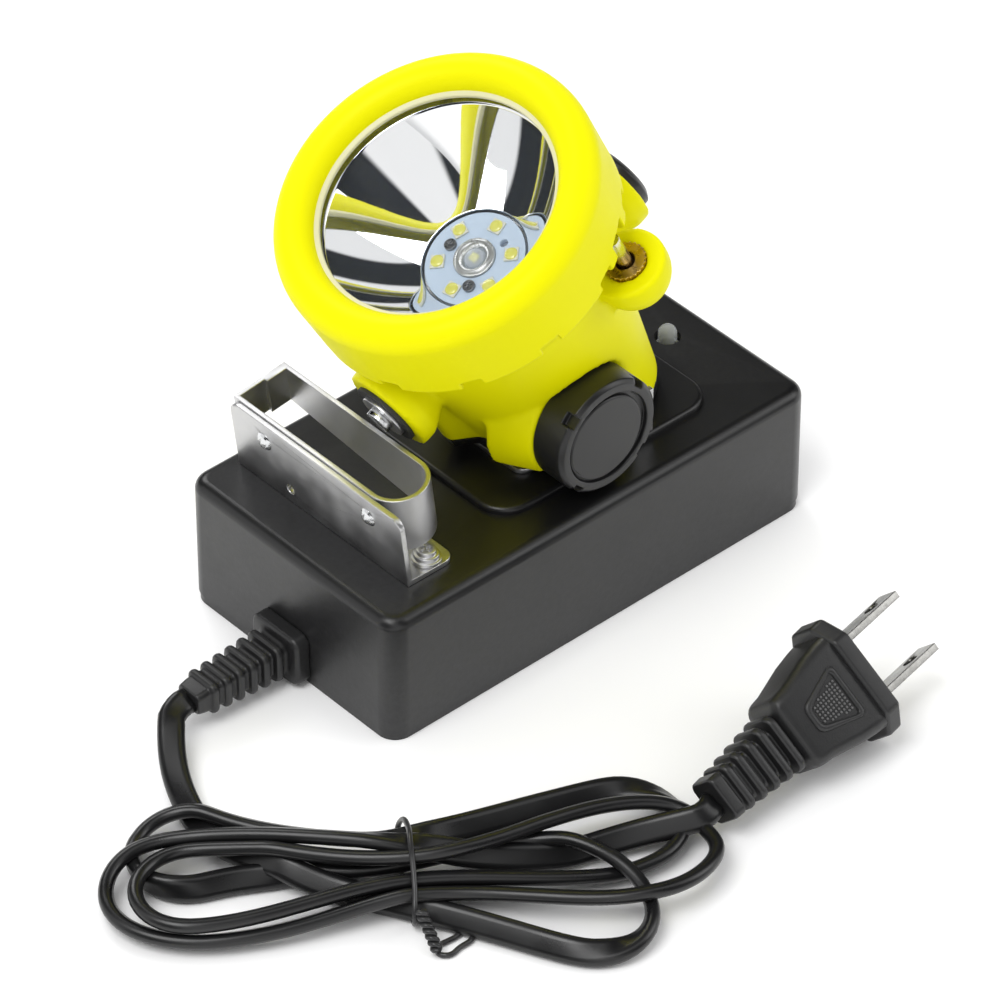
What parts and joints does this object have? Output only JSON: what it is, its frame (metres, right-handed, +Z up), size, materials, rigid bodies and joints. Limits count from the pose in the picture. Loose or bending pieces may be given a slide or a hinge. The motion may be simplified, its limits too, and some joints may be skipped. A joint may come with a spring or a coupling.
{
  "type": "miner's cap lamp with charging box",
  "caption": "Cordless miner's cap lamp with a rotary switch and steel hat hook, standing on its mains charging box with a looped charging bracket and a tied flat cord.",
  "frame": {"origin": "centre of the charging box's underside, on the surface it stands on", "axes": "+X along the charging box away from its cord, +Y across the box away from the knob, +Z up"},
  "size_m": [0.1879, 0.1396, 0.1115],
  "materials": {
    "black_abs": "fine grained satin",
    "yellow_abs": "satin moulded",
    "zinc_steel": "zinc plated",
    "nickel_plate": "nickel plated sheet",
    "chrome_strip": "bright plated",
    "black_rubber": "matte moulded",
    "cord_pvc": "satin",
    "tie_plastic": "satin",
    "blade_brass": "plain",
    "seal_rubber": "matte",
    "clear_lens": "clear moulded",
    "clear_led": "clear epoxy",
    "mirror_coat": "vacuum metallised",
    "white_board": "white solder mask",
    "circuit_board": "green solder mask",
    "led_package": "ceramic and silicone",
    "led_phosphor": "phosphor gel",
    "aluminium": "turned",
    "cell_sleeve": "shrink sleeve",
    "switch_body": "moulded",
    "brass": "turned",
    "knob_plastic": "satin moulded",
    "ferrite": "sintered",
    "coil_tape": "yellow tape",
    "capacitor_sleeve": "shrink sleeve"
  },
  "bodies": {
    "charger": {"charger_case": "black_abs", "charger_base": "black_abs", "base_screws": "zinc_steel", "charger_board": "circuit_board", "transformer_core": "ferrite", "transformer_coil": "coil_tape", "capacitors": "capacitor_sleeve", "power_transistor": "ferrite", "indicator_led": "clear_led", "bracket_plate": "nickel_plate", "bracket_loop": "chrome_strip", "bracket_rivets": "zinc_steel", "bracket_screws": "chrome_strip", "cord_gland": "black_rubber", "cord_lead": "cord_pvc", "cord_hank": "cord_pvc", "cord_tail": "cord_pvc", "cord_tie": "tie_plastic", "plug_body": "black_rubber", "plug_blades": "blade_brass"},
    "lamp": {"lamp_housing": "yellow_abs", "rear_cover": "black_abs", "cover_seal": "seal_rubber", "cover_screws": "zinc_steel", "hat_hook": "nickel_plate", "hook_screws": "zinc_steel", "bezel_ring": "yellow_abs", "lens": "clear_lens", "lens_seal": "seal_rubber", "reflector": "mirror_coat", "led_board": "white_board", "main_led": "led_package", "side_leds": "led_phosphor", "board_screws": "zinc_steel", "heat_sink": "aluminium", "driver_board": "circuit_board", "battery_cell": "cell_sleeve", "battery_cradle": "black_abs", "rotary_switch": "switch_body", "shaft_seal": "seal_rubber", "brass_insert": "brass", "terminal_ring": "seal_rubber", "terminal_washer": "chrome_strip", "terminal_screw": "zinc_steel", "top_cap": "knob_plastic"},
    "knob": {"switch_knob": "knob_plastic", "knob_disc": "knob_plastic", "switch_shaft": "brass"},
    "lock_screw_body": {"lock_screw": "zinc_steel"}
  },
  "joints": [
    {"name": "lamp_lift", "type": "slide", "parent": "charger", "child": "lamp", "axis": [0, 0, 1], "range_m": [0, 0.12]},
    {"name": "knob_turn", "type": "hinge", "parent": "lamp", "child": "knob", "pos_m": [0.00255, -0.024, 0.0442], "axis": [0, -1, 0], "range_deg": [0, 90]},
    {"name": "lock_screw_travel", "type": "slide", "parent": "lamp", "child": "lock_screw_body", "axis": [-0.4695, 0, 0.8829], "range_m": [-0.004, 0]}
  ]
}
